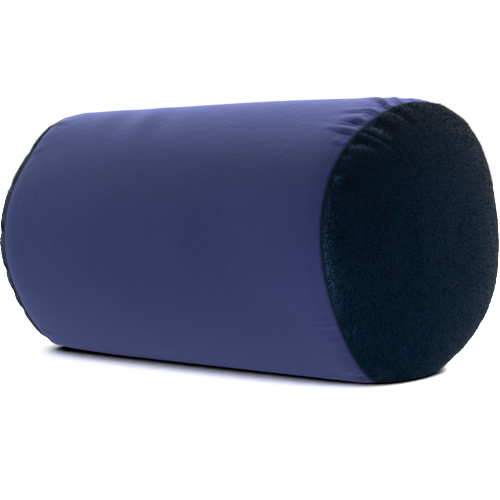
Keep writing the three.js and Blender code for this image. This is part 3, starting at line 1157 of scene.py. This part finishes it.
@dataclass
class EndPanel:
    """A crowned disc of plush in one end of the tube."""

    form: FilledForm
    side: Side
    columns: int = 320  # steps round the disc
    rows: int = 70  # rings from its rim to its middle
    gap: float = 0.3  # room between its hidden face and the tube's
    pile_depth: float = 1.0  # how far the backing lies under the tips of the pile
    sewn_reach: float = 3.0  # distance from the seam over which it sinks that far
    opened_reach: float = 6.5  # distance from the seam over which the pile is pressed open and painted with a highlight
    # Stretches of the seam where the pile is pressed open and painted with a highlight, each a middle
    # angle, half its spread and how far.
    open_pile_and_highlight: tuple[Triple, ...] = ((178, 27, 0.55), (151, 4, 0.7), (112, 40, 0.22), (330, 60, 0.13))
    tucked_reach: float = 4.0  # distance from the seam over which the pile grows to its full length
    tucked_power: float = 0.7  # how quickly it does
    pressed_height: float = 3.0  # height above the floor over which the roll's weight shortens it
    nap: Triple = (0.656, -0.754, -0.18)  # direction that the painted sheen is keyed to, towards the camera's side and a little down, at the near end
    painted_sheen_spread: float = 0.8  # how squarely the disc faces that direction where the painted sheen begins
    painted_sheen_power: float = 1.7  # how quickly the painted sheen grows from there on
    painted_sheen_waves: int = 6  # changes round the disc from which the painted sheen's changes count as folds
    fold_share: float = 0.32  # share of the painted sheen that such a fold keeps
    fold_reach: float = 2.5  # distance from the seam over which the painted light and shade on the gathers' walls grows
    fold_light: float = 2.6  # how much lighter the pile is painted on a wall that faces up, and darker on one that faces down
    fold_limits: Pair = (-0.8, 0.5)  # the darkest and the lightest that this painted light and shade makes the pile
    fold_hide: float = 0.7  # how much painted shade on a wall that faces down takes from the painted sheen
    fold_painted_highlight: float = 0.33  # how far a painted highlight in the open-pile colour lies on a wall that faces up

    def build(self, relief: ReliefGrid, finish: Material) -> Object:
        """Builds and dresses the disc.

        Args:
            relief: What the simulated cloth adds to it.
            finish: The plush.

        Returns:
            The piece.
        """
        form, sign, name = self.form, self.side.value, self.side.name.lower()
        shares, angles = np.cos(np.linspace(0, math.pi / 2, self.rows + 1)[:-1]), even_angles(self.columns)
        distance = form.disc_distance(self.side, shares)
        sunk = np.clip(distance / self.sewn_reach, 0, 1)[:, None]
        heights = (relief.sample(distance, angles) - self.pile_depth) * sunk
        points = form.disc_points(self.side, shares, angles, heights)
        points[:, :, 0] += sign * self.gap * MM
        crown, sewn = form.crown_point(self.side), form.axis_point(sign * (form.half + self.gap))
        crown[0] += sign * self.gap * MM
        # Painted light and shade on the walls of the gathers, from how far each wall faces up.
        painted_fold_shading = self.fold_light * self._facing(distance, angles)
        # Open pile along the seam, and a painted highlight in its colour on walls that face up.
        open_pile_and_highlight = np.maximum(self._open_pile_and_highlight(distance, angles), self.fold_painted_highlight * np.clip(painted_fold_shading, 0, 1))
        grown = np.clip(distance / self.tucked_reach, 0, 1)[:, None] ** self.tucked_power
        # The pile's attributes: open pile with painted highlight, painted sheen that is weaker on walls
        # facing down, painted fold light and shade, and the length the pile grows to.
        pile = {
            "open_pile_and_highlight": (open_pile_and_highlight, 0),
            "brushed": (self._painted_sheen(points) * (1 + np.clip(painted_fold_shading, -self.fold_hide, 0)), 0),
            "painted_fold_shading": (1 + np.clip(painted_fold_shading, *self.fold_limits), 1),
            "grown": (grown * np.clip(points[:, :, 2] / MM / self.pressed_height, 0, 1), 1),
        }
        poles = (sewn, crown)[::sign]
        piece = grid_mesh(f"end_plush_{name}", points[::sign], poles, (distance[::sign], angles))
        for attribute, (values, at_pole) in pile.items():
            layer = piece.data.attributes.new(attribute, "FLOAT", "POINT")
            values = np.append(values[::sign].ravel(), [at_pole, at_pole])
            layer.data.foreach_set("value", values.astype(np.float32))
        return dress(piece, finish, f"end_panel_{name}")

    def _painted_sheen(self, points: Array) -> Array:
        """Painted sheen: how far the pile is painted lighter, most where the disc turns off the direction
        it is keyed to.

        Args:
            points: Points of the disc, rings by columns by three.

        Returns:
            Shares, rings by columns.
        """
        along = np.gradient(points, axis=0)
        around = np.roll(points, -1, axis=1) - np.roll(points, 1, axis=1)
        normals = np.cross(around, along)
        normals /= np.linalg.norm(normals, axis=-1, keepdims=True)
        normals *= np.sign(normals[-1, :, 0].mean()) * self.side.value
        nap = np.array(self.nap) * (self.side.value, self.side.value, 1)
        off = 1 - (normals @ (nap / np.linalg.norm(nap))) / self.painted_sheen_spread
        sides = np.clip(off, 0, 1) ** self.painted_sheen_power
        return np.clip(scale_waves(sides, slice(self.painted_sheen_waves, None), self.fold_share), 0, 1)

    def _facing(self, distance: Array, angles: Array) -> Array:
        """How far the walls of the gathers face up, in height for each length round the rim.

        Args:
            distance: Distance of each ring from the seam.
            angles: Angles of the columns.

        Returns:
            Slopes, rings by columns, above zero where a wall faces up.
        """
        end, radius = self.form.end(self.side), self.form.radius
        depth = sum_folds(end.gathers + end.tucks, angles[None, :], distance[:, None], radius)
        arc = math.radians(angles[1] - angles[0]) * radius
        slope = (np.roll(depth, -1, axis=1) - np.roll(depth, 1, axis=1)) / (2 * arc)
        upwards = np.cos(np.radians(angles))[None, :]
        return slope * upwards * np.clip(distance / self.fold_reach, 0, 1)[:, None]

    def _open_pile_and_highlight(self, distance: Array, angles: Array) -> Array:
        """How far a seam presses the pile open, with a painted highlight over the gathers near the top.

        Args:
            distance: Distance of each ring from the seam.
            angles: Angles of the columns.

        Returns:
            Shares, rings by columns.
        """
        along = np.zeros(len(angles))
        for middle, spread, share in self.open_pile_and_highlight:
            turn = turn_between(angles, middle) / spread
            along = np.maximum(along, share * np.exp(-(turn**4)))
        return np.exp(-((distance / self.opened_reach) ** 2))[:, None] * along[None, :]


class PileBand(Enum):
    """The pieces in which the pile of a disc is planted, by height above the floor in metres."""

    LOWER = (0.0, 0.0816)
    UPPER = (0.0816, 0.2)


@dataclass
class Pile:
    """The pile of a plush disc, planted tuft by tuft, in metres."""

    side: Side
    band: PileBand
    spacing: float = 0.0005  # least distance between two tufts
    densest: float = 9e6  # most tufts for each square metre
    tuft_length: float = 0.0016
    tuft_width: float = 0.00055  # of its root
    lengths: Pair = (0.7, 1.2)  # shortest and longest share of that length
    stunted: float = 0.2  # share of it under which no tuft is planted
    nap: Triple = (0.0, -0.35, -1.0)  # which way it lies over
    lean: float = 0.5  # how far it lies over
    ruffle: float = 0.8  # how far patches of it are ruffled another way
    patches: float = 110.0  # such patches along a metre
    jitter: float = 0.22  # how far each tuft strays on its own
    clump: float = 0.0011  # width of the clumps that tufts gather in
    clump_edge: Pair = (0.38, 0.62)  # where a clump turns from dark to light
    strand: Pair = (-0.05, 0.2)  # how much darker or lighter a single tuft is
    hidden: float = -0.6  # how far a face turns inwards that grows no pile
    seed: int = 7  # of every random choice

    @property
    def sizes(self) -> dict[str, float]:
        """The inputs of the tree that plants it.

        Returns:
            Their values by name.
        """
        lowest, highest = self.band.value
        return {
            "Spacing": self.spacing,
            "Tuft Length": self.tuft_length,
            "Tuft Width": self.tuft_width,
            "Lean": self.lean,
            "Ruffle": self.ruffle,
            "Clump": self.clump,
            "Outwards": float(self.side.value),
            "Lowest": lowest,
            "Highest": highest,
            "Seed": self.seed,
        }

    def build(self, disc: Object, finish: Material) -> Object:
        """Plants the pile on a disc.

        Args:
            disc: The disc, as a plain mesh.
            finish: The material of the tufts.

        Returns:
            The piece.
        """
        bed = put("pile_bed", disc.data)
        modifier = bed.modifiers.new("pile", "NODES")
        modifier.node_group = self._tree(finish)
        for socket in modifier.node_group.interface.items_tree:
            if socket.name in self.sizes:
                modifier[socket.identifier] = self.sizes[socket.name]
        evaluated = bed.evaluated_get(bpy.context.evaluated_depsgraph_get())
        mesh = bpy.data.meshes.new_from_object(evaluated)
        bpy.data.objects.remove(bed, do_unlink=True)
        mesh.name = f"pile_{self.side.name.lower()}_{self.band.name.lower()}"
        mesh.materials.pop(index=0)
        pile = put(mesh.name, mesh)
        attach(pile, BODY)
        log.info("%s: %d faces", pile.name, len(mesh.polygons))
        return pile

    def _tree(self, finish: Material) -> bpy.types.NodeTree:
        """The nodes that plant tufts on the outside of a disc, within a band of heights.

        Args:
            finish: The material of the tufts.

        Returns:
            The tree.
        """
        tree = bpy.data.node_groups.new("plant_pile", "GeometryNodeTree")
        face = tree.interface
        face.new_socket("Geometry", in_out="INPUT", socket_type="NodeSocketGeometry")
        for name, value in self.sizes.items():
            kind = "NodeSocketInt" if isinstance(value, int) else "NodeSocketFloat"
            face.new_socket(name, in_out="INPUT", socket_type=kind)
        face.new_socket("Geometry", in_out="OUTPUT", socket_type="NodeSocketGeometry")
        graph = TreeGraph(tree)
        given = graph.add("NodeGroupInput").outputs
        seed = given["Seed"]
        normal = graph.add("GeometryNodeInputNormal").outputs["Normal"]
        height = graph.part(graph.add("GeometryNodeInputPosition").outputs["Position"], "Z")

        outwards = graph.math("MULTIPLY", graph.part(normal, "X"), given["Outwards"])
        crown = graph.without(given["Geometry"], graph.compare("LESS_THAN", outwards, self.hidden), "FACE")
        spacing = {"Distance Min": given["Spacing"], "Density Max": self.densest, "Seed": seed}
        spread = graph.add(
            "GeometryNodeDistributePointsOnFaces", {"Mesh": crown} | spacing, distribute_method="POISSON"
        ).outputs
        low = graph.compare("LESS_THAN", height, given["Lowest"])
        high = graph.compare("GREATER_EQUAL", height, given["Highest"])
        grown = graph.step("GeometryNodeInputNamedAttribute", {"Name": "grown"}, data_type="FLOAT")
        stunted = graph.compare("LESS_THAN", grown, self.stunted)
        kept = graph.without(spread["Points"], graph.either(graph.either(low, high), stunted), "POINT")
        bedded = graph.store(kept, "bed", spread["Normal"], "POINT", "FLOAT_VECTOR")

        swirl = graph.vector("SUBTRACT", graph.noise(self.patches, 1.0, output=1), (0.5, 0.5, 0.5))
        swirl = graph.scale(swirl, given["Ruffle"])
        limits = {0: (-self.jitter,) * 3, 1: (self.jitter,) * 3, "Seed": seed}
        jitter = graph.step("FunctionNodeRandomValue", limits, data_type="FLOAT_VECTOR")
        lie = graph.vector("ADD", graph.scale(self.nap, given["Lean"]), graph.vector("ADD", swirl, jitter))
        aim = graph.vector("ADD", spread["Normal"], lie)
        turned = graph.step("FunctionNodeAlignRotationToVector", {"Vector": aim}, axis="Z")

        root = graph.math("MULTIPLY", given["Tuft Width"], 0.5)
        cone = {"Vertices": 3, "Radius Top": 0.0, "Radius Bottom": root, "Depth": given["Tuft Length"]}
        tuft = graph.step("GeometryNodeMeshCone", cone, fill_type="NGON")
        tuft = graph.store(tuft, "tip", graph.math("DIVIDE", height, given["Tuft Length"]), "POINT")
        size = graph.math("MULTIPLY", graph.random(self.lengths, graph.math("ADD", seed, 1)), grown)
        inputs = {"Points": bedded, "Instance": tuft, "Rotation": turned, "Scale": size}
        planted = graph.step("GeometryNodeInstanceOnPoints", inputs)

        clumps = graph.noise(graph.math("DIVIDE", 1.0, given["Clump"]), 0.0)
        strand = graph.random(self.strand, graph.math("ADD", seed, 2))
        shade = graph.math("ADD", graph.ranged(clumps, self.clump_edge), strand)
        planted = graph.store(planted, "shade", shade, "INSTANCE")
        realized = graph.step("GeometryNodeRealizeInstances", {"Geometry": planted})
        dressed = graph.step("GeometryNodeSetMaterial", {"Geometry": realized, "Material": finish})
        graph.add("NodeGroupOutput", {"Geometry": dressed})
        return tree


class TreeGraph(NodeGraph):
    """The nodes of a tree that makes shapes."""

    def scale(self, vector: object, factor: object) -> Socket:
        """A vector times a number."""
        return self.step("ShaderNodeVectorMath", {0: vector, "Scale": factor}, operation="SCALE")

    def part(self, vector: object, axis: str) -> Socket:
        """One component of a vector."""
        return self.add("ShaderNodeSeparateXYZ", {0: vector}).outputs[axis]

    def compare(self, operation: str, first: object, second: object) -> Socket:
        """Whether two numbers compare as asked."""
        inputs = {0: first, 1: second}
        return self.step("FunctionNodeCompare", inputs, data_type="FLOAT", operation=operation)

    def either(self, first: object, second: object) -> Socket:
        """Whether one of two things is so."""
        return self.step("FunctionNodeBooleanMath", {0: first, 1: second}, operation="OR")

    def random(self, limits: Pair, seed: object) -> Socket:
        """A random number between two limits, for each element."""
        inputs = {2: limits[0], 3: limits[1], "Seed": seed}
        return self.add("FunctionNodeRandomValue", inputs, data_type="FLOAT").outputs[1]

    def without(self, geometry: Socket, selection: Socket, domain: str) -> Socket:
        """A geometry without what is selected."""
        inputs = {"Geometry": geometry, "Selection": selection}
        return self.step("GeometryNodeDeleteGeometry", inputs, domain=domain)

    def store(self, geometry: Socket, name: str, value: Socket, domain: str, kind: str = "FLOAT") -> Socket:
        """A geometry that holds a value under a name."""
        inputs = {"Geometry": geometry, "Name": name, "Value": value}
        return self.step("GeometryNodeStoreNamedAttribute", inputs, data_type=kind, domain=domain)


def dress(piece: Object, finish: Material, node: str) -> Object:
    """Gives a padded piece its finish and ties it to the part.

    Args:
        piece: The piece.
        finish: Its material.
        node: The solid that it stands for.

    Returns:
        The same piece.
    """
    piece.data.materials.append(finish)
    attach(piece, BODY)
    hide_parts(node)
    log.info("%s: %d faces", piece.name, len(piece.data.polygons))
    return piece


@dataclass(frozen=True)
class Softbox:
    """A square light aimed at the roll."""

    name: str
    place: Triple  # where it stands, in metres
    size: float  # length of its sides, in metres
    power: float  # in watts

    def build(self, target: Vector) -> None:
        """Places the light.

        Args:
            target: Where it is aimed.
        """
        light = bpy.data.lights.new(self.name, "AREA")
        light.shape, light.size, light.energy = "SQUARE", self.size, self.power
        holder = put(self.name, light)
        holder.location = self.place
        holder.rotation_euler = (target - Vector(self.place)).to_track_quat("-Z", "Y").to_euler()
        holder.visible_camera = False


@dataclass(frozen=True)
class Studio:
    """The white floor, the white surroundings and the lights."""

    floor_size: float = 30.0  # length of its sides, in metres
    surround: float = 0.26  # how much light the surroundings give
    seen_white: float = 1.02  # how bright the camera sees them
    lights: tuple[Softbox, ...] = (
        Softbox("front_softbox", (0.8, -1.3, 0.85), 0.8, 4.6),
        Softbox("back_softbox", (0.3, 1.15, 0.95), 1.4, 38),
        Softbox("right_softbox", (1.1, 1.0, 0.5), 0.9, 0.4),
    )

    def build(self, target: Vector) -> None:
        """Builds the studio.

        Args:
            target: Where the lights are aimed.
        """
        half = self.floor_size / 2
        mesh = bpy.data.meshes.new("studio_floor")
        corners = [(-half, -half, 0), (half, -half, 0), (half, half, 0), (-half, half, 0)]
        mesh.from_pydata(corners, [], [(0, 1, 2, 3)])
        mesh.materials.append(FloorFinish().build())
        floor = put("studio_floor", mesh)
        floor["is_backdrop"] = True
        world = bpy.data.worlds.new("white_surround")
        world.use_nodes = True
        graph = NodeGraph(world.node_tree)
        background = graph.nodes["Background"]
        graph.feed(background, "Color", (1, 1, 1, 1))
        looked_at = graph.add("ShaderNodeLightPath").outputs["Is Camera Ray"]
        graph.feed(background, "Strength", graph.ranged(looked_at, result=(self.surround, self.seen_white)))
        scene = bpy.context.scene
        scene.world = world
        scene.view_settings.view_transform = "Standard"
        scene.view_settings.look = "None"
        for light in self.lights:
            light.build(target)


@dataclass(frozen=True)
class PhotoCamera:
    """The camera at the photograph's angle."""

    azimuth: float = 41.0  # angle round the roll, in degrees from its front
    elevation: float = 2.78  # angle above the horizon
    roll: float = -1.12  # turn of the picture
    distance: float = 0.8139  # from the middle of the roll's axis, in metres
    focal_px: float = 1195.0  # focal length, in pixels of the frame
    centre_px: Pair = (234.2, 239.1)  # where the middle of the axis lies in the frame
    frame_px: float = 500.0  # side of the square frame
    sensor: float = 36.0  # width of the sensor, in millimetres
    farthest: float = 100.0  # how far it sees, in metres

    def build(self, middle: Vector) -> Object:
        """Places the camera so that the middle of the roll's axis falls where it should.

        Args:
            middle: The middle of the roll's axis.

        Returns:
            The camera.
        """
        turn, lift, spin = (math.radians(a) for a in (self.azimuth, self.elevation, self.roll))
        back = Vector((math.sin(turn) * math.cos(lift), -math.cos(turn) * math.cos(lift), math.sin(lift)))
        right = Vector((math.cos(turn), math.sin(turn), 0))
        above = back.cross(right)
        right, up = (
            right * math.cos(spin) + above * math.sin(spin),
            above * math.cos(spin) - right * math.sin(spin),
        )
        across = (self.centre_px[0] - self.frame_px / 2) / self.focal_px
        upwards = (self.frame_px / 2 - self.centre_px[1]) / self.focal_px
        aim = (back + right * across + up * upwards).normalized()
        right = (right - aim * right.dot(aim)).normalized()
        turned = Matrix((right, aim.cross(right), aim)).transposed().to_4x4()
        data = bpy.data.cameras.new("photo_camera")
        data.sensor_width = self.sensor
        data.lens = self.focal_px / self.frame_px * self.sensor
        data.clip_end = self.farthest
        camera = put("photo_camera", data)
        camera.matrix_world = Matrix.Translation(middle + back * self.distance) @ turned
        bpy.context.scene.camera = camera
        return camera


def main() -> None:
    """Builds the camera, the studio and the roll."""
    logging.basicConfig(level=logging.INFO)
    cad_box = [list(corner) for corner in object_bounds()]
    form = FilledForm().seated(*cad_box)
    PhotoCamera().build(form.axis_middle)
    Studio().build(form.axis_middle)
    relief = SewnFilling().relief(form)
    TubePanel(form).build(relief.get("tube", FLAT), JerseyFinish().build())
    plush, tufts = PlushFinish().build(), TuftFinish().build()
    for side in Side:
        disc = EndPanel(form, side).build(relief.get(side.name, FLAT), plush)
        for band in PileBand:
            Pile(side, band).build(disc, tufts)


if __name__ == "__main__":
    main()
